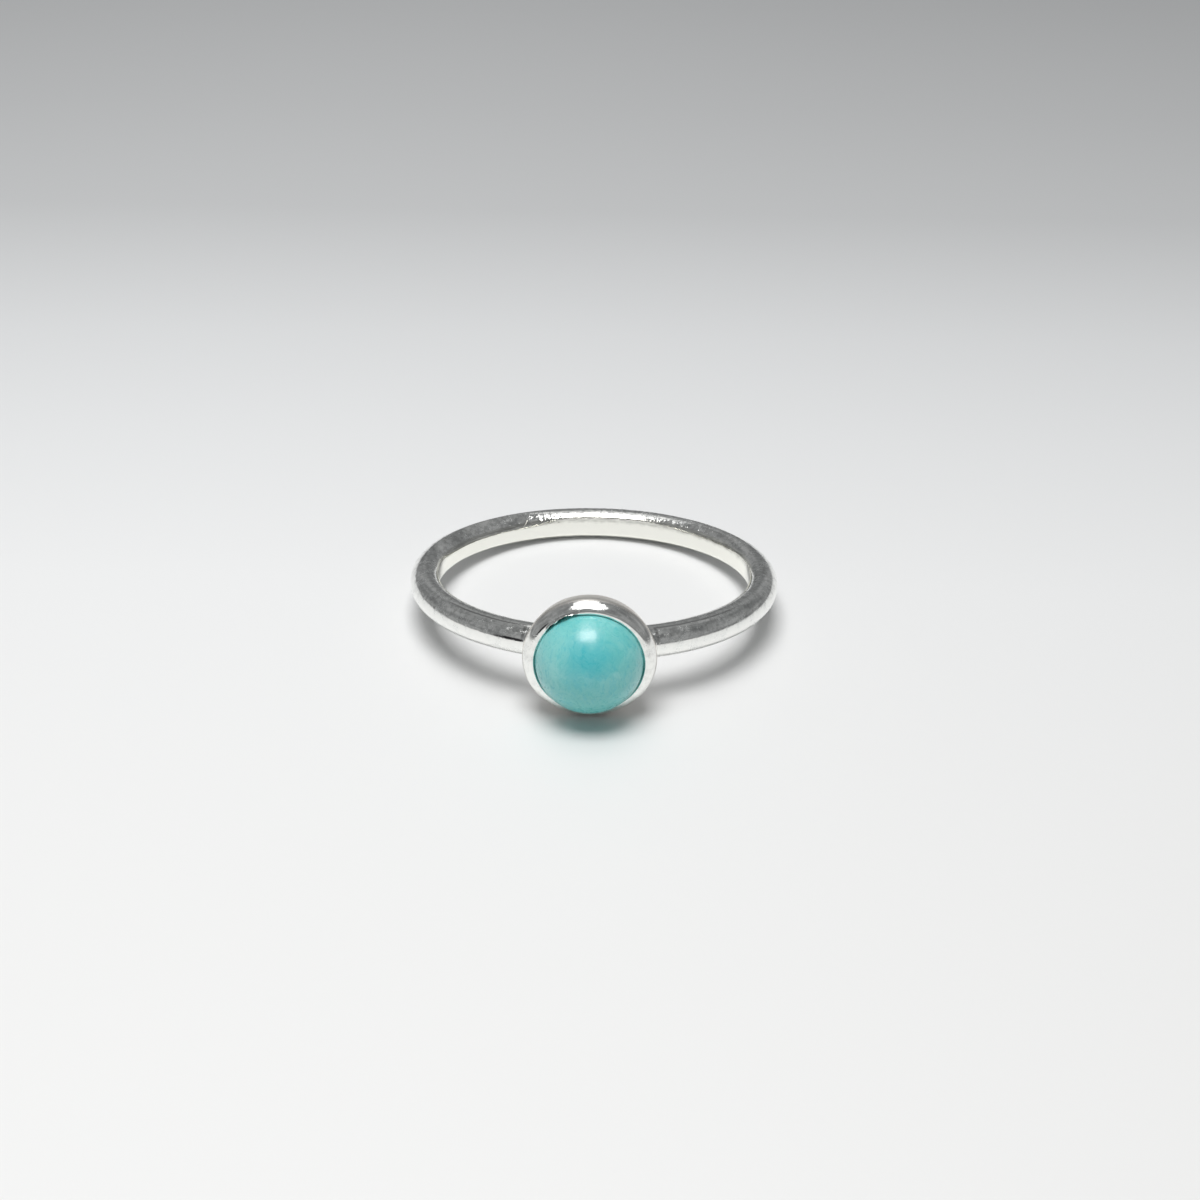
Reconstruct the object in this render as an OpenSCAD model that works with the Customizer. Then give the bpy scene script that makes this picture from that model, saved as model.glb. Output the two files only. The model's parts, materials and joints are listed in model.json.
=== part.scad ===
// Ring of round silver wire with a round amazonite cabochon in a low polished cup.
// It lies on its side as it would by itself: the back of the band and the belly of the cup both touch z = 0,
// so the front is raised a little. X runs across the ring, -Y is the way the stone faces.

/* [Finger hole] */
// Diameter of the finger hole, a size 8 ring
finger_d = 18.1; // [15:0.1:22]

/* [Band] */
// Diameter of the round wire that the band is bent from
wire_d = 1.8; // [1.7:0.05:2.4]
// Thickness of the band, from the flattened inside to the outside
band_t = 1.6; // [1.2:0.05:1.7]
// Rounding of the two edges of the flattened inside
edge_r = 0.25; // [0.1:0.05:0.35]

/* [Cup] */
// Diameter of the cup at its belly, the widest place of its rounded rim
cup_d = 7.06; // [6.9:0.02:8]
// Radius of the rounded rim
rim_r = 0.5; // [0.4:0.02:0.6]
// Distance from the middle of the wire out to the middle of the rounded rim
rim_out = 1.56; // [1.4:0.02:1.8]
// Radius of the bowl that runs from the rim back to the flat foot
bowl_r = 1.2; // [1.1:0.05:1.6]
// Distance from the middle of the wire out to the flat foot, where the cup is soldered to the band
foot_out = 0.55; // [0.45:0.05:0.7]
// How far the cup leans down from the plane of the band, in degrees
cup_lean = 6; // [0:0.5:8]

/* [Stone] */
// Diameter of the cabochon
stone_d = 6; // [5.5:0.1:6.2]
// Height of its straight side, under the dome
girdle_h = 0.42; // [0.2:0.02:0.6]
// Height of the dome above the straight side
dome_h = 2.8; // [1.5:0.05:3]
// Silver left between the band and the flat back of the stone
floor_t = 0.2; // [0.1:0.05:0.3]
// Setting gap all round the stone
gap = 0.03; // [0.02:0.01:0.05]

/* [Hidden] */
$fn = 180;

finger_r = finger_d / 2;
wire_r = wire_d / 2;
wire_out = finger_r + band_t - wire_r;      // middle of the wire, from the ring's axis
edge_in = wire_out - finger_r - edge_r;     // middle of an edge rounding, inward from the wire's middle
edge_up = sqrt(pow(wire_r - edge_r, 2) - pow(edge_in, 2)); // and along the ring's axis: half the flat
edge_touch = [wire_out - edge_in * wire_r / (wire_r - edge_r), edge_up * wire_r / (wire_r - edge_r)];

rim_mid = cup_d / 2 - rim_r;                // middle of the rounded rim, from the cup's axis
rim_turn = 10;                              // the rim passes into the bowl this far behind the belly, in degrees
bowl_mid = rim_mid - (bowl_r - rim_r) * cos(rim_turn);
bowl_out = rim_out + (bowl_r - rim_r) * sin(rim_turn);
stone_r = stone_d / 2;
stone_out = wire_r + floor_t + gap;         // flat back of the stone, out from the wire's middle
girdle_out = stone_out + girdle_h;

// Lowest part of the rounded rim in the band's own plane: out from the ring's axis, and down
belly_out = wire_out + rim_out * cos(cup_lean) - rim_mid * sin(cup_lean);
belly_down = rim_out * sin(cup_lean) + rim_mid * cos(cup_lean);
// The floor touches the wire at the back and the rim at the front, two circles of unlike radius
rest_tilt = atan2(belly_down, belly_out + wire_out)
    + asin((rim_r - wire_r) / norm([belly_down, belly_out + wire_out]));

// Height of the ring's middle above the floor, and its place between the back and the dome's front
lift = wire_out * sin(rest_tilt) + wire_r;
stone_tilt = rest_tilt - cup_lean;
back_y = wire_out * cos(rest_tilt) + wire_r;
front_y = wire_out * cos(rest_tilt) + girdle_out * cos(stone_tilt)
    + norm([dome_h * cos(stone_tilt), stone_r * sin(stone_tilt)]);
middle_y = (front_y - back_y) / 2;

// Places what is drawn about the ring's own axis, with the stone toward -Y, on the floor
module resting() {
    translate([0, middle_y, lift]) rotate([-rest_tilt, 0, 0]) children();
}

// Places what is drawn about the cup's axis, from the middle of the wire outward
module on_cup_axis() {
    translate([0, -wire_out, 0]) rotate([90 + cup_lean, 0, 0]) children();
}

// Cut through the band: round wire with its inside flattened to the finger
module band_section() {
    intersection() {
        translate([wire_out, 0]) circle(wire_r);
        translate([edge_touch[0], -wire_d]) square([wire_d, 2 * wire_d]);
    }
    polygon([[finger_r, -edge_up], edge_touch - [0, 2 * edge_touch[1]], edge_touch, [finger_r, edge_up]]);
    for (side = [-1, 1])
        translate([finger_r + edge_r, side * edge_up]) circle(edge_r);
}

// Cut through the cup from its axis outward: a flat foot and a rounded bowl that ends in the rounded rim
module cup_section() {
    intersection() {
        union() {
            translate([bowl_mid, bowl_out]) circle(bowl_r);
            translate([0, foot_out]) square([bowl_mid, rim_out - foot_out]);
        }
        translate([0, foot_out]) square([cup_d, rim_out - foot_out]);
    }
    translate([rim_mid, rim_out]) circle(rim_r);
}

// Cut through the cabochon, made larger all round by grow: flat back, short straight side, round dome
module stone_section(grow) {
    r = stone_r + grow;
    translate([0, stone_out - grow]) square([r, girdle_h + grow]);
    intersection() {
        translate([0, girdle_out]) scale([1, (dome_h + grow) / r]) circle(r);
        translate([0, girdle_out]) square([r, 2 * dome_h]);
    }
}

module silver_band_and_cup() {
    color("silver") resting() difference() {
        union() {
            rotate_extrude() band_section();
            on_cup_axis() rotate_extrude() cup_section();
        }
        on_cup_axis() rotate_extrude() stone_section(gap);
    }
}

module cabochon() {
    color("mediumturquoise") resting() on_cup_axis() rotate_extrude() stone_section(0);
}

silver_band_and_cup();
cabochon();
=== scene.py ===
# A silver finger ring with a round amazonite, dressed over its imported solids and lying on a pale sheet
import bpy
import bmesh
import json
import math
from mathutils import Matrix, Vector, noise


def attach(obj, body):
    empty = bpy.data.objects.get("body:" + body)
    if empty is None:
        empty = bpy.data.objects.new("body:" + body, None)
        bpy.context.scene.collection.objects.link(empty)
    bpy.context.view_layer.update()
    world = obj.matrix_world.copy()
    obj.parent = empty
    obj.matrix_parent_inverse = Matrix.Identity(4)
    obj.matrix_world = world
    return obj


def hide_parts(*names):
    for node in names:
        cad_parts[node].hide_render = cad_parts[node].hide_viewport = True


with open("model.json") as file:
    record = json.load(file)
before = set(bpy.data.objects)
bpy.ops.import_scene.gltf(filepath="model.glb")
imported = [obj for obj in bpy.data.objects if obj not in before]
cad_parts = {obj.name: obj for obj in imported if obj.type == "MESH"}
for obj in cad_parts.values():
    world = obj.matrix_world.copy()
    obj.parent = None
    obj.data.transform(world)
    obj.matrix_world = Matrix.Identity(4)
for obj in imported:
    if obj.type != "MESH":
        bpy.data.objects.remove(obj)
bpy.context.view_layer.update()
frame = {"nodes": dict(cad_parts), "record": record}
mm = 0.001
print("frame loaded:", ", ".join(sorted(frame["nodes"])))

# Where the ring lies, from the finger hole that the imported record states
hole = frame["record"]["mounts"][0]
ringMiddle = Vector(hole["pos_m"])
fingerRadius = hole["dims"]["r_mm"] * mm
ringTilt = math.atan2(hole["axis"][1], hole["axis"][2])
ringPlace = Matrix.Translation(ringMiddle) @ Matrix.Rotation(-ringTilt, 4, "X")

camera = {
    "distance": 115.1 * mm,         # from the lens to the middle of the ring
    "elevation": 28.8,              # above the floor, in degrees
    "yaw": 1.0,                     # round toward +X
    "roll": 0.68,
    "nearest": 1 * mm,              # that it still shows
    "focalPixels": 1976,
    "framePixels": 1200,
    "ringPixel": (594.1, 578.3),    # where the middle of the ring shows in the frame
}


def addObject(name, data):
    made = bpy.data.objects.new(name, data)
    bpy.context.scene.collection.objects.link(made)
    return made


def placeCamera(s):
    up, turn = math.radians(s["elevation"]), math.radians(s["yaw"])
    away = Vector((math.sin(turn) * math.cos(up), -math.cos(turn) * math.cos(up), math.sin(up)))
    data = bpy.data.cameras.new("photo_camera")
    data.lens = data.sensor_width * s["focalPixels"] / s["framePixels"]
    data.clip_start = s["nearest"]
    shown = addObject("photo_camera", data)
    # The aim passes the ring's middle by these pixels
    right, below = [s["framePixels"] / 2 - pixel for pixel in s["ringPixel"]]
    aim = Matrix.Rotation(math.radians(s["roll"]), 4, "Z")
    aim = aim @ Matrix.Rotation(-math.atan(right / s["focalPixels"]), 4, "Y")
    aim = aim @ Matrix.Rotation(-math.atan(below / s["focalPixels"]), 4, "X")
    look = (-away).to_track_quat("-Z", "Y").to_matrix().to_4x4()
    shown.matrix_world = Matrix.Translation(ringMiddle + away * s["distance"]) @ look @ aim
    bpy.context.scene.camera = shown


placeCamera(camera)
print("camera placed")


# Node helpers
def addNode(tree, kind, inputs=None, **settings):
    made = tree.nodes.new(kind)
    for key, value in settings.items():
        setattr(made, key, value)
    for key, value in (inputs or {}).items():
        if isinstance(value, bpy.types.NodeSocket):
            tree.links.new(value, made.inputs[key])
        else:
            made.inputs[key].default_value = value
    return made


def newMaterial(name):
    made = bpy.data.materials.new(name)
    made.use_nodes = True
    made.node_tree.nodes.clear()
    return made, made.node_tree


def finishMaterial(made, looks):
    shader = addNode(made.node_tree, "ShaderNodeBsdfPrincipled", looks)
    addNode(made.node_tree, "ShaderNodeOutputMaterial", {"Surface": shader.outputs[0]})
    return made


def calculate(tree, operation, a, b=0.0):
    return addNode(tree, "ShaderNodeMath", {0: a, 1: b}, operation=operation).outputs[0]


def vectorMath(tree, operation, inputs, output=0):
    return addNode(tree, "ShaderNodeVectorMath", inputs, operation=operation).outputs[output]


def times(tree, first, *others):
    for other in others:
        first = calculate(tree, "MULTIPLY", first, other)
    return first


def farFrom(tree, value, middle):
    return calculate(tree, "ABSOLUTE", calculate(tree, "SUBTRACT", value, middle))


def ramp(tree, value, fromLow, fromHigh, toLow=0.0, toHigh=1.0):
    inputs = {"Value": value, "From Min": fromLow, "From Max": fromHigh, "To Min": toLow, "To Max": toHigh}
    return addNode(tree, "ShaderNodeMapRange", inputs, interpolation_type="SMOOTHSTEP").outputs["Result"]


def within(tree, value, start, full, fullTo, end):
    return times(tree, ramp(tree, value, start, full), ramp(tree, value, end, fullTo))


def blendColor(tree, amount, a, b, blend="MIX"):
    inputs = {0: amount, 6: a, 7: b}
    return addNode(tree, "ShaderNodeMix", inputs, data_type="RGBA", blend_type=blend).outputs[2]


def noiseAt(tree, where, scale, detail, roughness, output="Fac"):
    inputs = {"Vector": where, "Scale": scale, "Detail": detail, "Roughness": roughness}
    return addNode(tree, "ShaderNodeTexNoise", inputs).outputs[output]


def bump(tree, height, depth, under=None, **settings):
    inputs = {"Height": height, "Distance": depth}
    if under is not None:
        inputs["Normal"] = under
    return addNode(tree, "ShaderNodeBump", inputs, **settings).outputs[0]


# Mesh helpers
def rise(value, start, full):
    return min(max((value - start) / (full - start), 0), 1)


def arc(middle, radius, start, stop, count):
    steps = [math.radians(start + (stop - start) * i / (count - 1)) for i in range(count)]
    return [(middle[0] + radius * math.cos(a), 0, middle[1] + radius * math.sin(a)) for a in steps]


def spinOutline(points, steps, closed=False, merged=0.002 * mm):
    bm = bmesh.new()
    made = [bm.verts.new(p) for p in points]
    for a, b in zip(made, made[1:] + made[:1] if closed else made[1:]):
        bm.edges.new((a, b))
    bmesh.ops.spin(bm, geom=bm.verts[:] + bm.edges[:], cent=(0, 0, 0), axis=(0, 0, 1),
                   angle=2 * math.pi, steps=steps, use_merge=True)
    bmesh.ops.remove_doubles(bm, verts=bm.verts, dist=merged)
    bmesh.ops.recalc_face_normals(bm, faces=bm.faces)
    return bm


def finishPiece(bm, name, place, material, slot, *replaced):
    bmesh.ops.transform(bm, matrix=place, verts=bm.verts)
    bmesh.ops.recalc_face_normals(bm, faces=bm.faces)
    for face in bm.faces:
        face.smooth = True
    mesh = bpy.data.meshes.new(name)
    bm.to_mesh(mesh)
    bm.free()
    mesh.materials.append(material)
    piece = addObject(name, mesh)
    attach(piece, "root")
    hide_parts(*replaced)
    print(name, len(mesh.polygons), "faces")


# Silver: polished by hand, so its reflections waver, with duller patches, fine lines, flecks and a few pits.
# A noise is given by its scale per metre, its detail and its roughness.
silver = {
    "color": (0.965, 0.965, 0.935, 1),
    "dullColor": (0.87, 0.88, 0.86, 1),
    "roughness": 0.07,
    "patches": (1500, 4, 0.65),
    "grain": (9000, 3, 0.6),            # breaks up the duller patches
    "grainLevels": (0.3, 0.6, 0.35, 1.0),
    "clothLevels": (0.5, 0.75),
    "clothShare": 0.35,                 # how much duller the lines of the polishing cloth are in colour
    "flecks": (3300, 4, 0.72),
    "fleckLevels": (0.56, 0.38),
    "pitSize": (0.3, 0.12),
}
# Turns are in radians from the back of the band, and heights are above the middle of the wire
bandSilver = {
    **silver,
    "name": "band_silver",
    "dullRoughness": 0.34,
    "duller": (0.4, 0.68),              # noise levels between which the polish turns dull
    "clothTurn": 1.2 * mm,              # less than the radius, so the lines of the cloth are drawn out
    "cloth": (14000, 3, 0.6),
    "clothDepth": 0.0012 * mm,
    "waves": (2400, 3, 0.55),
    "waveDepths": (0.4, 0.9, 0.026 * mm, 0.009 * mm),   # it is more uneven at the back
    "upperSide": (0.1 * mm, 0.45 * mm),     # heights over which flecks and pits come in
    "fleckTone": 0.74,                  # left in the darkest flecks
    "pitsPerMetre": 6500,
    "pitDepth": 0.005 * mm,
    "pitted": (1.9, 2.35, 0.05, 0.42),  # turns over which more of the pits show, and their shares
    "pittedTo": (2.7, 2.58),            # there are none close to the cup
    "pittedBack": (0.26, 0.42, 0.78, 0.9),      # and a deeply pitted place at the back, on the right
    "pittedBackShare": 0.75,
    "wallColor": (0.97, 0.965, 0.90, 1),    # its flat inside keeps its polish
    "wallRadii": (9.14 * mm, 9.3 * mm),
    "nickTurn": -0.561,                 # a nick on the inner edge
    "nickLean": 140,                    # radians per metre of height
    "nickHeights": (0.2 * mm, 0.28 * mm, 0.54 * mm, 0.62 * mm),
    "nickWidths": (0.0045, 0.0018),
    "nickColor": (1.0, 0.98, 0.88, 1),
    "paintedEdgeHeights": (0.12 * mm, 0.43 * mm, 0.43 * mm, 0.62 * mm),   # painted reflection: a darker line wanders along the inner edge, where the edge would mirror the dark room
    "paintedEdgeDrift": 0.35 * mm,
    "paintedEdgeRadii": (9.32 * mm, 9.2 * mm),
    "paintedEdgeBreaks": (0.3, 0.6, 0.25, 1),
    "paintedEdgeReflection": (0.58, 0.575, 0.54, 1),
    "lineRadii": (9.97 * mm, 10.065 * mm, 10.065 * mm, 10.16 * mm),     # a thin dark line along the top
    "lineDrift": 0.12 * mm,
    "lineFrom": (2.15, 2.3),            # it runs in the front half
    "lineTo": (2.79, 2.784),
    "lineStrength": 0.5,
    "bendTurn": 2.79,                   # and turns down beside the cup
    "bendWidths": (0.014, 0.003),
}
# Turns are from the top of the cup, and heights are out along its axis
cupSilver = {
    **silver,
    "name": "cup_silver",
    "dullRoughness": 0.36,
    "duller": (0.42, 0.75),
    "clothTurn": 0.5 * mm,
    "cloth": (9000, 3, 0.6),
    "clothDepth": 0.0022 * mm,
    "waves": (1900, 3, 0.55),
    "waveDepths": (0, 1, 0.006 * mm, 0.006 * mm),   # the same all round
    "upperSide": (1.0 * mm, 1.3 * mm),
    "fleckTone": 0.88,
    "pitsPerMetre": 6400,
    "pitDepth": 0.004 * mm,
    "pitted": (1.0, 1.2, 0.2, 0.5),
    "satinSide": (1.8 * mm, 1.55 * mm),     # its side was never polished as high as its face
    "satinColor": (1.0, 0.96, 0.90, 1),
}


def placeAround(tree, place, around):
    inputs = {"Vector": place, "Location": around.to_translation(), "Rotation": around.to_euler()}
    upright = addNode(tree, "ShaderNodeMapping", inputs, vector_type="TEXTURE").outputs[0]
    split = addNode(tree, "ShaderNodeSeparateXYZ", {0: upright}).outputs
    turn = calculate(tree, "ARCTAN2", split[0], split[1])       # its ends meet on the -Y side
    return turn, vectorMath(tree, "LENGTH", {0: upright}, "Value"), split[2]


def pitting(tree, s, place, turn, away):
    inputs = {"Vector": place, "Scale": s["pitsPerMetre"], "Randomness": 1.0}
    cells = addNode(tree, "ShaderNodeTexVoronoi", inputs).outputs
    drawn = addNode(tree, "ShaderNodeSeparateColor", {0: cells["Color"]}).outputs[0]    # a value for each pit
    pit = ramp(tree, cells["Distance"], *s["pitSize"])
    share = ramp(tree, away, *s["pitted"])
    depth = s["pitDepth"]
    if "pittedBack" in s:
        atBack = within(tree, turn, *s["pittedBack"])
        share = calculate(tree, "MAXIMUM", share, times(tree, atBack, s["pittedBackShare"]))
        depth = times(tree, calculate(tree, "ADD", atBack, 1), depth)
        pit = times(tree, pit, ramp(tree, away, *s["pittedTo"]))
    return times(tree, pit, calculate(tree, "LESS_THAN", drawn, share)), depth


def nickShape(tree, s, turn, height):
    leaning = calculate(tree, "SUBTRACT", turn, times(tree, height, s["nickLean"]))
    beside = ramp(tree, farFrom(tree, leaning, s["nickTurn"]), *s["nickWidths"])
    return times(tree, within(tree, height, *s["nickHeights"]), beside)


# The line of painted dark reflection along the inner edge, broken by the cloth's lines
def paintedEdgeReflectionShape(tree, s, radius, height, drift, cloth):
    wandering = calculate(tree, "ADD", height, times(tree, drift, s["paintedEdgeDrift"]))
    edge = times(tree, within(tree, wandering, *s["paintedEdgeHeights"]), ramp(tree, radius, *s["paintedEdgeRadii"]))
    return times(tree, edge, ramp(tree, cloth, *s["paintedEdgeBreaks"]))


def lineShape(tree, s, away, radius, drift):
    wandering = calculate(tree, "ADD", radius, times(tree, drift, s["lineDrift"]))
    line = times(tree, within(tree, wandering, *s["lineRadii"]), ramp(tree, away, *s["lineTo"]))
    bend = ramp(tree, farFrom(tree, away, s["bendTurn"]), *s["bendWidths"])
    bend = times(tree, bend, ramp(tree, wandering, *s["lineRadii"][:2]))
    line = calculate(tree, "MAXIMUM", line, bend)
    return times(tree, line, ramp(tree, away, *s["lineFrom"]), s["lineStrength"])


def silverMaterial(s, around):
    made, tree = newMaterial(s["name"])
    place = addNode(tree, "ShaderNodeTexCoord").outputs["Object"]
    turn, radius, height = placeAround(tree, place, around)
    away = calculate(tree, "ABSOLUTE", turn)
    drawnOut = {0: times(tree, turn, s["clothTurn"]), 1: radius, 2: height}
    cloth = noiseAt(tree, addNode(tree, "ShaderNodeCombineXYZ", drawnOut).outputs[0], *s["cloth"])
    waves = noiseAt(tree, place, *s["waves"])
    outside = ramp(tree, radius, *s["wallRadii"]) if "wallRadii" in s else 1.0
    upper = times(tree, ramp(tree, height, *s["upperSide"]), outside)
    dull = times(tree, ramp(tree, noiseAt(tree, place, *s["patches"]), *s["duller"]),
                 ramp(tree, noiseAt(tree, place, *s["grain"]), *s["grainLevels"]), outside)
    clothTone = times(tree, ramp(tree, cloth, *s["clothLevels"]), s["clothShare"])
    color = blendColor(tree, clothTone, s["color"], s["dullColor"])
    color = blendColor(tree, dull, color, s["dullColor"])
    darker = ramp(tree, noiseAt(tree, place, *s["flecks"]), *s["fleckLevels"], 0, 1 - s["fleckTone"])
    if "wallColor" in s:
        color = blendColor(tree, outside, s["wallColor"], color)
    if "satinSide" in s:
        satin = ramp(tree, height, *s["satinSide"])
        dull = calculate(tree, "MAXIMUM", dull, satin)
        color = blendColor(tree, satin, color, s["satinColor"])
    drift = calculate(tree, "SUBTRACT", waves, 0.5)
    # painted reflection of the dark room, as a darker line along the inner edge
    if "paintedEdgeReflection" in s:
        color = blendColor(tree, paintedEdgeReflectionShape(tree, s, radius, height, drift, cloth), color, s["paintedEdgeReflection"])
    if "lineRadii" in s:
        darker = calculate(tree, "MAXIMUM", darker, lineShape(tree, s, away, radius, drift))
    left = calculate(tree, "SUBTRACT", 1, times(tree, darker, upper))
    color = blendColor(tree, 1.0, color, left, blend="MULTIPLY")
    if "nickColor" in s:
        nick = nickShape(tree, s, turn, height)
        dull = calculate(tree, "MAXIMUM", dull, nick)
        color = blendColor(tree, nick, color, s["nickColor"])
    relief = bump(tree, waves, ramp(tree, away, *s["waveDepths"]))
    relief = bump(tree, cloth, s["clothDepth"], relief)
    pits, pitDepth = pitting(tree, s, place, turn, away)
    relief = bump(tree, times(tree, pits, upper), pitDepth, relief, invert=True)
    rough = ramp(tree, dull, 0, 1, s["roughness"], s["dullRoughness"])
    return finishMaterial(made, {"Base Color": color, "Metallic": 1.0, "Roughness": rough, "Normal": relief})


# Band: round wire with its inside flattened, bent to a ring
band = {
    "wireRadius": 0.9 * mm,
    "wirePoints": 64,
    "thickness": 1.6 * mm,
    "edgeRounding": 0.16 * mm,          # between the wire and its flat inside
    "edgePoints": 6,
    "insideRows": (0.6, 0.2, -0.2, -0.6),
    "steps": 360,
    "unevenness": 0.006 * mm,
    "wavesPerMetre": 700,
    "sunk": 0.3,                        # it goes further in than out
    "wornSlope": 55,                    # the inner edge is worn down at its sides: a flat this steep
    "wornDistance": 0.623 * mm,         # and this far from the wire's middle
    "wornFrom": (8, 38),                # degrees from the back over which it comes in
    "wornTo": (90, 64),                 # and goes out again
    "wornLeft": 1.0,
    "wornRight": 0.42,
}
wireMiddle = fingerRadius + band["thickness"] - band["wireRadius"]


def wireSection(s):
    inward = wireMiddle - fingerRadius - s["edgeRounding"]      # from the wire's middle to the edges' middles
    reach = s["wireRadius"] - s["edgeRounding"]
    turn = math.degrees(math.acos(inward / reach))
    up = reach * math.sin(math.radians(turn))
    middle = wireMiddle - inward
    points = arc((wireMiddle, 0), s["wireRadius"], turn - 180, 180 - turn, s["wirePoints"])
    points += arc((middle, up), s["edgeRounding"], 180 - turn, 180, s["edgePoints"])[1:]
    points += [(fingerRadius, 0, up * row) for row in s["insideRows"]]
    points += arc((middle, -up), s["edgeRounding"], 180, 180 + turn, s["edgePoints"])[:-1]
    return points


def buildBand(s):
    bm = spinOutline(wireSection(s), s["steps"], closed=True)
    inward, up = math.cos(math.radians(s["wornSlope"])), math.sin(math.radians(s["wornSlope"]))
    for v in bm.verts:
        v.co += v.normal * s["unevenness"] * (noise.noise(v.co * s["wavesPerMetre"]) - s["sunk"])
        outward = Vector((v.co.x, v.co.y, 0)).normalized()
        turn = math.degrees(math.acos(outward.y))       # from the back of the band to its front
        share = rise(turn, *s["wornFrom"]) * rise(turn, *s["wornTo"])
        share *= s["wornLeft"] if outward.x < 0 else s["wornRight"]
        height = (wireMiddle - v.co.dot(outward)) * inward + v.co.z * up - s["wornDistance"]
        if height > 0:
            v.co -= (Vector((0, 0, up)) - outward * inward) * height * share * share * (3 - 2 * share)
    finishPiece(bm, "ring_band", ringPlace, bandFinish, "polished_silver", "silver_band_and_cup")


bandFinish = silverMaterial(bandSilver, ringPlace)
buildBand(band)

# Cup: a low bowl with a full, rounded rim pressed over the stone; heights run outward from the wire's middle
cup = {
    "lean": 6.0,                        # down out of the band's plane, in degrees
    "steps": 192,
    "footRows": (0, 1.5 * mm, 2.6 * mm),
    "backRounding": 0.2 * mm,
    "sideTurn": -16,                    # the side runs in toward the band at this slope
    "sideLength": 0.763 * mm,
    "bellyRounding": 0.55 * mm,
    "face": (2.557 * mm, 1.352 * mm),   # middle of the wide rounding of the rim's face
    "faceRounding": 1.0 * mm,
    "faceTurns": (18, 47),              # degrees on it, from straight out toward the front
    "crestRounding": 0.34 * mm,
    "crestTo": 92,
    "arcPoints": (8, 9, 12, 11),        # on the back, the belly, the face and the crest
    "lip": (2.885 * mm, 2.125 * mm),
    "lipDepth": 0.25 * mm,
    "insideRadius": 2.97 * mm,
    "floorHeight": 1.1 * mm,
    "wider": 1.014,                     # pressed a little oval, across the ring
    "widerFrom": (3.1 * mm, 3.4 * mm),
    "wallRadius": 2.8 * mm,             # the hand work shows outside this radius
    "unevenness": 0.012 * mm,
    "wavesPerMetre": 900,
    "rimHeight": 1.2 * mm,
    "lowerBelow": 0.15 * mm,            # the rim was pressed this much lower on its underside
    "crestHeight": 1.8 * mm,
    "crestRadii": (3.1 * mm, 3.0 * mm),
    "lipRadius": 2.96 * mm,
    "closed": 0.012,                    # at its sides the lip comes this share of its radius closer
    "groove": 0.24 * mm,                # how far it drops away from the crest at its sides and below
    "grooveFrom": (0.375, -0.25),       # shares of the radius, upward
    "liftedAt": (32, 21),               # it stands off the stone here: degrees to the left of the top, reach
    "liftedDepth": 0.55 * mm,
    "liftedOut": 0.055,                 # share of its radius
    "liftedWaves": 1.2,
    "liftedWavesPerMetre": 2600,
}
cupPlace = ringPlace @ Matrix.Translation((0, -wireMiddle, 0))
cupPlace = cupPlace @ Matrix.Rotation(math.radians(90 + cup["lean"]), 4, "X")


def rounding(middle, fullRadius, radius, turn):
    reach = fullRadius - radius     # a smaller rounding that touches the larger one from inside, at this turn
    return middle[0] + reach * math.cos(math.radians(turn)), middle[1] + reach * math.sin(math.radians(turn))


def cupBack(s):
    belly = rounding(s["face"], s["faceRounding"], s["bellyRounding"], s["faceTurns"][0])
    out, back = math.cos(math.radians(s["sideTurn"])), math.sin(math.radians(s["sideTurn"]))
    inward = s["bellyRounding"] - s["backRounding"]
    radius = belly[0] + inward * out + s["sideLength"] * back
    height = belly[1] + inward * back - s["sideLength"] * out
    return belly, (radius, height)


def cupOutline(s):
    belly, back = cupBack(s)
    crest = rounding(s["face"], s["faceRounding"], s["crestRounding"], s["faceTurns"][1])
    onBack, onBelly, onFace, onCrest = s["arcPoints"]
    points = [(radius, 0, back[1] - s["backRounding"]) for radius in s["footRows"]]
    points += arc(back, s["backRounding"], -90, s["sideTurn"], onBack)
    points += arc(belly, s["bellyRounding"], s["sideTurn"], s["faceTurns"][0], onBelly)
    points += arc(s["face"], s["faceRounding"], *s["faceTurns"], onFace)[1:]
    points += arc(crest, s["crestRounding"], s["faceTurns"][1], s["crestTo"], onCrest)[1:]
    points += [(s["lip"][0], 0, s["lip"][1]), (s["insideRadius"], 0, s["lip"][1] - s["lipDepth"])]
    points += [(s["insideRadius"], 0, s["floorHeight"]), (0, 0, s["floorHeight"])]
    return points


def pressLip(s, v, reach, upward):
    middle, wide = s["liftedAt"]
    aside = math.degrees(math.atan2(-v.co.x, v.co.y)) - middle
    lifted = rise(abs(aside), wide, 0)
    lifted *= 1 + s["liftedWaves"] * noise.noise(v.co * s["liftedWavesPerMetre"])
    if reach < s["lipRadius"]:
        v.co.z -= s["groove"] * rise(upward, *s["grooveFrom"]) + s["liftedDepth"] * lifted
    v.co.x *= 1 - s["closed"]
    v.co *= 1 + s["liftedOut"] * lifted * rise(reach, *s["crestRadii"])


def buildCup(s):
    bm = spinOutline(cupOutline(s), s["steps"])
    for v in bm.verts:
        reach = math.hypot(v.co.x, v.co.y)
        v.co.x *= 1 + (s["wider"] - 1) * rise(reach, *s["widerFrom"])
        if reach > s["wallRadius"]:
            v.co += v.normal * s["unevenness"] * noise.noise(v.co * s["wavesPerMetre"])
            upward = v.co.y / reach
            if v.co.z > s["crestHeight"] and reach < s["crestRadii"][0]:
                pressLip(s, v, reach, upward)
            if v.co.z > s["rimHeight"]:
                v.co.z -= s["lowerBelow"] * min(upward, 0) ** 2
    cupFinish = silverMaterial(cupSilver, cupPlace)
    finishPiece(bm, "bezel_cup", cupPlace, cupFinish, "polished_silver", "silver_band_and_cup")


buildCup(cup)

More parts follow.
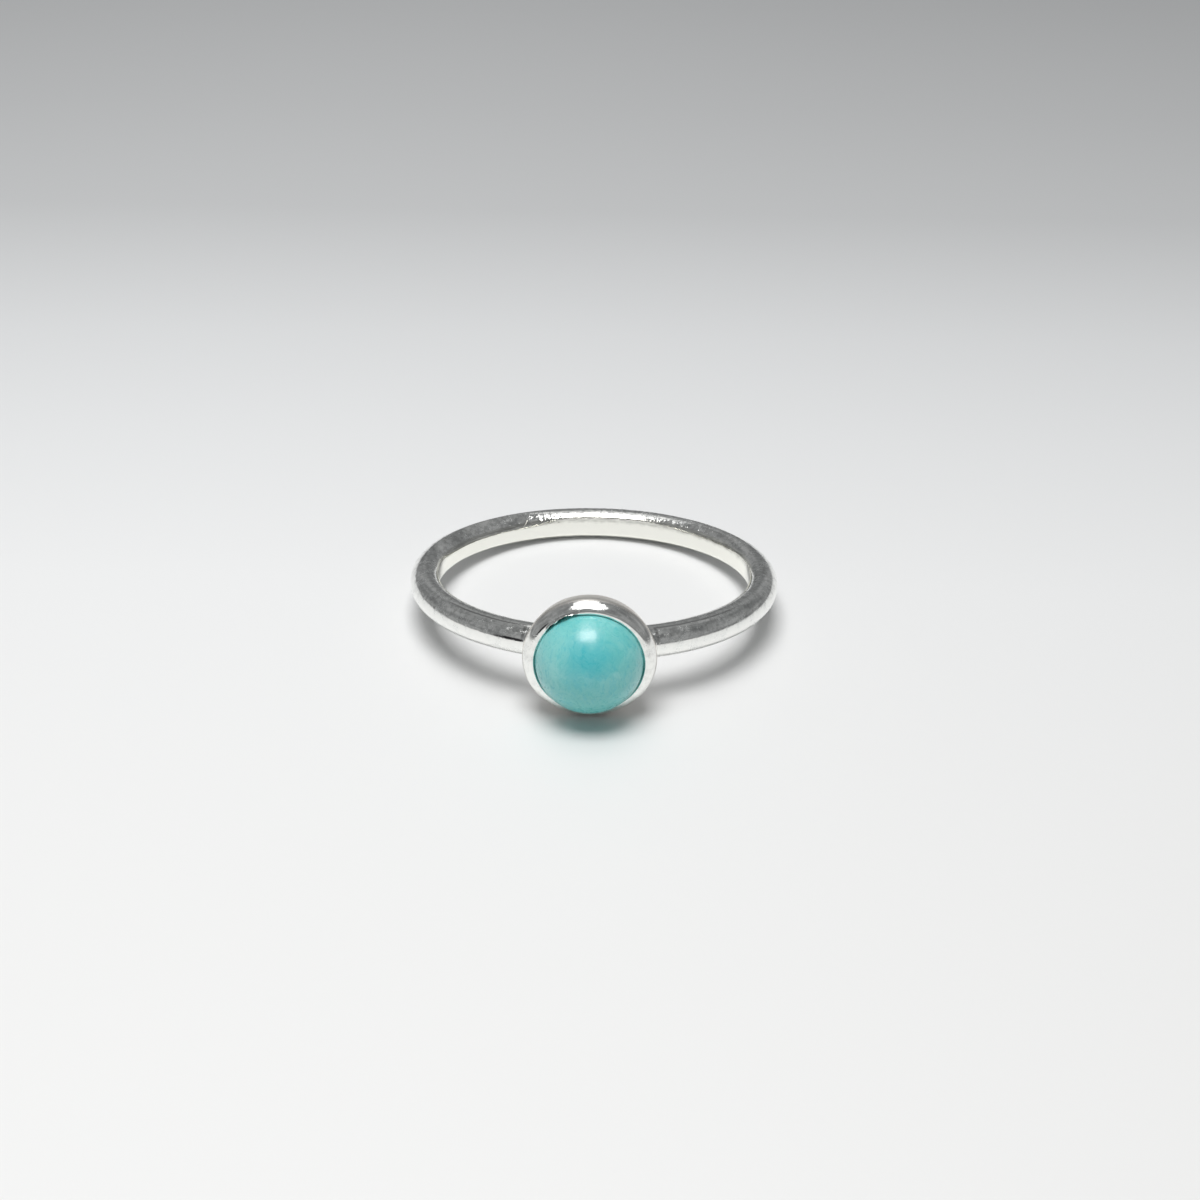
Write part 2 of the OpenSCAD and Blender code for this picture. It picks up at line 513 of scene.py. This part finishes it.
# Solder: a hollow fillet all round, where the cup's back meets the band.
# A ball rolled between them gives its shape.
solder = {
    "radius": 0.42 * mm,
    "around": 144,
    "across": 9,
    "tuck": 0.05 * mm,                  # its edges end this deep in the silver
    "searched": (0.5 * mm, 5 * mm),     # least and most from the cup's axis to the ball's middle
    "nearEnough": 0.0005 * mm,
}
bandFromCup = ringPlace.inverted() @ cupPlace


def awayFromWire(point):
    place = bandFromCup @ point
    outward = Vector((place.x, place.y, 0))
    return place - outward.normalized() * wireMiddle


def ballMiddle(s, turn, out):
    back = cupBack(cup)[1]
    reach = cup["backRounding"] + s["radius"]
    past = max(out - back[0], 0)
    height = back[1] - math.sqrt(max(reach * reach - past * past, 0))
    middle = Vector((out * math.cos(turn), out * math.sin(turn), height))
    nearest = Vector((min(out, back[0]) * math.cos(turn), min(out, back[0]) * math.sin(turn), back[1]))
    return middle, nearest


def rolledBall(s, turn):
    low, high = s["searched"]
    while high - low > s["nearEnough"]:
        out = (low + high) / 2
        middle, nearest = ballMiddle(s, turn, out)
        if awayFromWire(middle).length < band["wireRadius"] + s["radius"]:
            low = out
        else:
            high = out
    toBand = bandFromCup.inverted().to_3x3() @ -awayFromWire(middle).normalized()
    return middle, toBand, (nearest - middle).normalized()


def buildSolder(s):
    bm = bmesh.new()
    balls = [rolledBall(s, 2 * math.pi * i / s["around"]) for i in range(s["around"])]
    loops = []
    for step in range(-1, s["across"] + 1):
        ringOfVerts = bmesh.ops.create_circle(bm, segments=s["around"], radius=1)["verts"]
        share = rise(step, 0, s["across"] - 1)
        reach = s["radius"] + (s["tuck"] if step in (-1, s["across"]) else 0)
        for v, (middle, toBand, toCup) in zip(ringOfVerts, balls):
            v.co = middle + toBand.slerp(toCup, share) * reach
        loops.append([e for e in bm.edges if e.verts[0] in ringOfVerts])
    for a, b in zip(loops, loops[1:]):
        bmesh.ops.bridge_loops(bm, edges=a + b)
    finishPiece(bm, "solder_fillet", cupPlace, bandFinish, "polished_silver", "silver_band_and_cup")


buildSolder(solder)

# Stone: a round cabochon with a flat back, a short straight side and a dome nearly as high as a half ball
stone = {
    "radius": 2.92 * mm,
    "backHeight": 1.13 * mm,
    "girdle": 0.47 * mm,
    "dome": 2.87 * mm,
    "segments": 128,
    "rings": 96,
    "cutMargin": 0.001 * mm,            # the ball's lower half is cut off this exactly
    "color": (0.165, 0.59, 0.575, 1),
    "deepColor": (0.055, 0.50, 0.56, 1),
    "paleColor": (0.315, 0.71, 0.69, 1),
    "greenColor": (0.125, 0.54, 0.51, 1),
    "greenHeights": (2.6 * mm, 1.2 * mm),   # it turns greener toward the floor
    "swirl": (700, 3, 0.6),             # everything in it drifts with this
    "drift": 1.5 * mm,
    "cloud": (900, 5, 0.62),            # pale clouds
    "cloudLevels": (0.42, 0.68, 0, 0.5),
    "cloudRelief": 0.005 * mm,
    # Place across, up from and out along the cup's axis; full and no effect; share; colour
    "patches": [
        ((-1.9 * mm, 1.1 * mm, 3.3 * mm), (0.3 * mm, 2.0 * mm), 0.55, "paleColor"),
        # painted reflection: paler at the right edge, where the stone would mirror the bright sheet
        ((2.2 * mm, -1.0 * mm, 3.0 * mm), (0.2 * mm, 1.3 * mm), 0.35, "paleColor"),
        ((-0.05 * mm, 1.25 * mm, 4.05 * mm), (0.2 * mm, 1.9 * mm), 0.7, "deepColor"),
        ((0.1 * mm, -1.6 * mm, 3.9 * mm), (0.4 * mm, 1.8 * mm), 0.5, "greenColor"),
    ],
    "fine": (3400, 4, 0.7),             # fine pale mottling
    "fineLevels": (0.48, 0.7, 0, 0.3),
    "fineRelief": 0.0028 * mm,
    "veins": (5200, 3, 0.6),
    "veinLevels": (0.5, 0.68, 0, 0.45),
    "veinTurn": (0.3, 0.5, 0.2),
    "veinStretch": (1, 1, 0.22),
    "polishLevels": (0.4, 0.7, 0.27, 0.38),     # roughness, between these levels of the mottling
    "skin": (0.26, 0.12),               # a smoother skin over it: weight and roughness
    "shine": (1.0, 0.82, 0.81, 1),
    "refraction": 1.53,
    "glow": 0.3,                        # light goes in a little way, red the least
    "glowReach": (0.4, 1.0, 1.0),
    "glowDepth": 0.4 * mm,
}


def amazoniteMaterial(s):
    made, tree = newMaterial("amazonite")
    place = addNode(tree, "ShaderNodeTexCoord").outputs["Object"]
    swirl = noiseAt(tree, place, *s["swirl"], output="Color")
    drift = vectorMath(tree, "SUBTRACT", {0: swirl, 1: (0.5, 0.5, 0.5)})
    drift = vectorMath(tree, "SCALE", {0: drift, "Scale": s["drift"]})
    drifted = vectorMath(tree, "ADD", {0: place, 1: drift})
    height = addNode(tree, "ShaderNodeSeparateXYZ", {0: drifted}).outputs[2]
    cloud = noiseAt(tree, drifted, *s["cloud"])
    fine = noiseAt(tree, drifted, *s["fine"])
    drawnOut = {"Vector": drifted, "Rotation": s["veinTurn"], "Scale": s["veinStretch"]}
    veins = noiseAt(tree, addNode(tree, "ShaderNodeMapping", drawnOut).outputs[0], *s["veins"])
    color = blendColor(tree, ramp(tree, height, *s["greenHeights"]), s["color"], s["greenColor"])
    color = blendColor(tree, ramp(tree, cloud, *s["cloudLevels"]), color, s["paleColor"])
    for middle, (full, none), share, shade in s["patches"]:
        away = vectorMath(tree, "DISTANCE", {0: drifted, 1: cupPlace @ Vector(middle)}, "Value")
        color = blendColor(tree, ramp(tree, away, none, full, 0, share), color, s[shade])
    color = blendColor(tree, ramp(tree, fine, *s["fineLevels"]), color, s["paleColor"])
    color = blendColor(tree, ramp(tree, veins, *s["veinLevels"]), color, s["deepColor"])
    relief = bump(tree, cloud, s["cloudRelief"])
    relief = bump(tree, fine, s["fineRelief"], relief)
    rough = ramp(tree, fine, *s["polishLevels"])
    return finishMaterial(made, {
        "Base Color": color, "Roughness": rough, "IOR": s["refraction"], "Normal": relief,
        "Specular Tint": s["shine"], "Subsurface Weight": s["glow"],
        "Subsurface Radius": s["glowReach"], "Subsurface Scale": s["glowDepth"],
        "Coat Weight": s["skin"][0], "Coat Roughness": s["skin"][1], "Coat Normal": relief})


def buildStone(s):
    bm = bmesh.new()
    bmesh.ops.create_uvsphere(bm, u_segments=s["segments"], v_segments=s["rings"], radius=s["radius"])
    bmesh.ops.bisect_plane(bm, geom=bm.verts[:] + bm.edges[:] + bm.faces[:], plane_co=(0, 0, 0),
                           plane_no=(0, 0, 1), dist=s["cutMargin"], clear_inner=True)
    bmesh.ops.scale(bm, verts=bm.verts, vec=(1, 1, s["dome"] / s["radius"]))
    widest = [e for e in bm.edges if e.is_boundary]
    side = bmesh.ops.extrude_edge_only(bm, edges=widest)["geom"]
    lower = [g for g in side if isinstance(g, bmesh.types.BMVert)]
    bmesh.ops.translate(bm, verts=lower, vec=(0, 0, -s["girdle"]))
    back = [e for e in bm.edges if e.is_boundary]
    bmesh.ops.contextual_create(bm, geom=back)
    bmesh.ops.translate(bm, verts=bm.verts, vec=(0, 0, s["backHeight"] + s["girdle"]))
    finishPiece(bm, "amazonite_cabochon", cupPlace, amazoniteMaterial(s), "amazonite", "cabochon")


buildStone(stone)

# Sheet: pale, with its light painted into its tone: painted light fades to the back, and painted shade lies
# beyond the sides and the front
sheet = {
    "size": 1.6,
    "squares": 8,
    # Metres to the back of the ring's place, and the painted tone there
    "backTones": [(-0.08, 0.80), (-0.03, 0.805), (0.005, 0.82), (0.026, 0.78), (0.045, 0.73),
                  (0.075, 0.60), (0.11, 0.585), (0.2, 0.59)],
    "sideTones": (-0.045, 0.045, 1.02, 0.98),   # painted light that falls off a little from the left to the right
    "sideFade": (0.034, 0.085),         # metres to the side at the ring, and further out toward the back
    "sideSpread": 0.3,
    "frontFade": (0.07, 0.12),
    "fadedTone": 0.4,
    "tintDepths": (-0.04, 0.05),
    "frontTint": (1.0, 0.998, 0.988, 1),
    "backTint": (0.99, 1.0, 1.005, 1),
    "roughness": 0.55,
}


def toneRamp(tree, value, tones):
    first, last = tones[0][0], tones[-1][0]
    inputs = {"Value": value, "From Min": first, "From Max": last}
    share = addNode(tree, "ShaderNodeMapRange", inputs).outputs[0]
    made = addNode(tree, "ShaderNodeValToRGB", {0: share})
    stops = made.color_ramp.elements
    while len(stops) < len(tones):
        stops.new(0.5)
    for stop, (at, tone) in zip(stops, tones):
        stop.position = (at - first) / (last - first)
        stop.color = (tone, tone, tone, 1)
    return made.outputs[0]


def sheetMaterial(s):
    made, tree = newMaterial("pale_sheet")
    place = addNode(tree, "ShaderNodeTexCoord").outputs["Object"]
    across, backward = addNode(tree, "ShaderNodeSeparateXYZ", {0: place}).outputs[:2]
    spread = times(tree, calculate(tree, "MAXIMUM", backward, 0), s["sideSpread"])
    aside = calculate(tree, "SUBTRACT", calculate(tree, "ABSOLUTE", across), spread)
    faded = calculate(tree, "MAXIMUM", ramp(tree, aside, *s["sideFade"]),
                      ramp(tree, times(tree, backward, -1), *s["frontFade"]))
    fadedColor = (s["fadedTone"], s["fadedTone"], s["fadedTone"], 1)
    shown = blendColor(tree, faded, toneRamp(tree, backward, s["backTones"]), fadedColor, blend="DARKEN")
    shown = blendColor(tree, 1.0, shown, ramp(tree, across, *s["sideTones"]), blend="MULTIPLY")
    tint = blendColor(tree, ramp(tree, backward, *s["tintDepths"]), s["frontTint"], s["backTint"])
    shown = blendColor(tree, 1.0, shown, tint, blend="MULTIPLY")
    return finishMaterial(made, {"Base Color": shown, "Roughness": s["roughness"]})


def buildSheet(s):
    bm = bmesh.new()
    bmesh.ops.create_grid(bm, x_segments=s["squares"], y_segments=s["squares"], size=s["size"] / 2)
    mesh = bpy.data.meshes.new("pale_sheet")
    bm.to_mesh(mesh)
    bm.free()
    mesh.materials.append(sheetMaterial(s))
    addObject("pale_sheet", mesh)


buildSheet(sheet)
print("sheet laid")

# Lights, and the plain room that the silver mirrors
lights = {
    "main_light": {"place": (-0.015, -0.0785, 0.30), "size": (0.158, 0.137), "power": 0.715},
    "side_glow": {"place": (-0.116, -0.085, 0.30), "size": (0.044, 0.11), "power": 0.045},
    "upper_glow": {"place": (-0.022, 0.050, 0.30), "size": (0.136, 0.12), "power": 0.13},
    "back_glow": {"place": (-0.03, 0.20, 0.30), "size": (0.11, 0.18), "power": 0.034},
}
room = {
    "patches": (2.3, 3, 0.55),
    "levels": (0.3, 0.7),
    "darkSide": (0.14, 0.145, 0.148, 1),
    "lightSide": (0.32, 0.325, 0.33, 1),
    "darkThing": (-0.76, -0.64, 0.10),  # something dark stands this way, in front and to the left
    "darkReach": (0.975, 0.99),
    "darkColor": (0.02, 0.02, 0.022, 1),
}


def hangLight(name, s):
    data = bpy.data.lights.new(name, "AREA")
    data.shape = "RECTANGLE"
    data.size, data.size_y = s["size"]
    data.energy = s["power"]
    addObject(name, data).location = s["place"]


def buildRoom(s):
    world = bpy.data.worlds.new("surroundings")
    world.use_nodes = True
    tree = world.node_tree
    direction = addNode(tree, "ShaderNodeTexCoord").outputs["Generated"]
    softly = ramp(tree, noiseAt(tree, direction, *s["patches"]), *s["levels"])
    shown = blendColor(tree, softly, s["darkSide"], s["lightSide"])
    toward = vectorMath(tree, "DOT_PRODUCT", {0: direction, 1: s["darkThing"]}, "Value")
    shown = blendColor(tree, ramp(tree, toward, *s["darkReach"]), shown, s["darkColor"])
    tree.links.new(shown, tree.nodes["Background"].inputs[0])
    bpy.context.scene.world = world


for lightName, light in lights.items():
    hangLight(lightName, light)
buildRoom(room)
bpy.context.scene.view_settings.view_transform = "Standard"
print("ring lit")
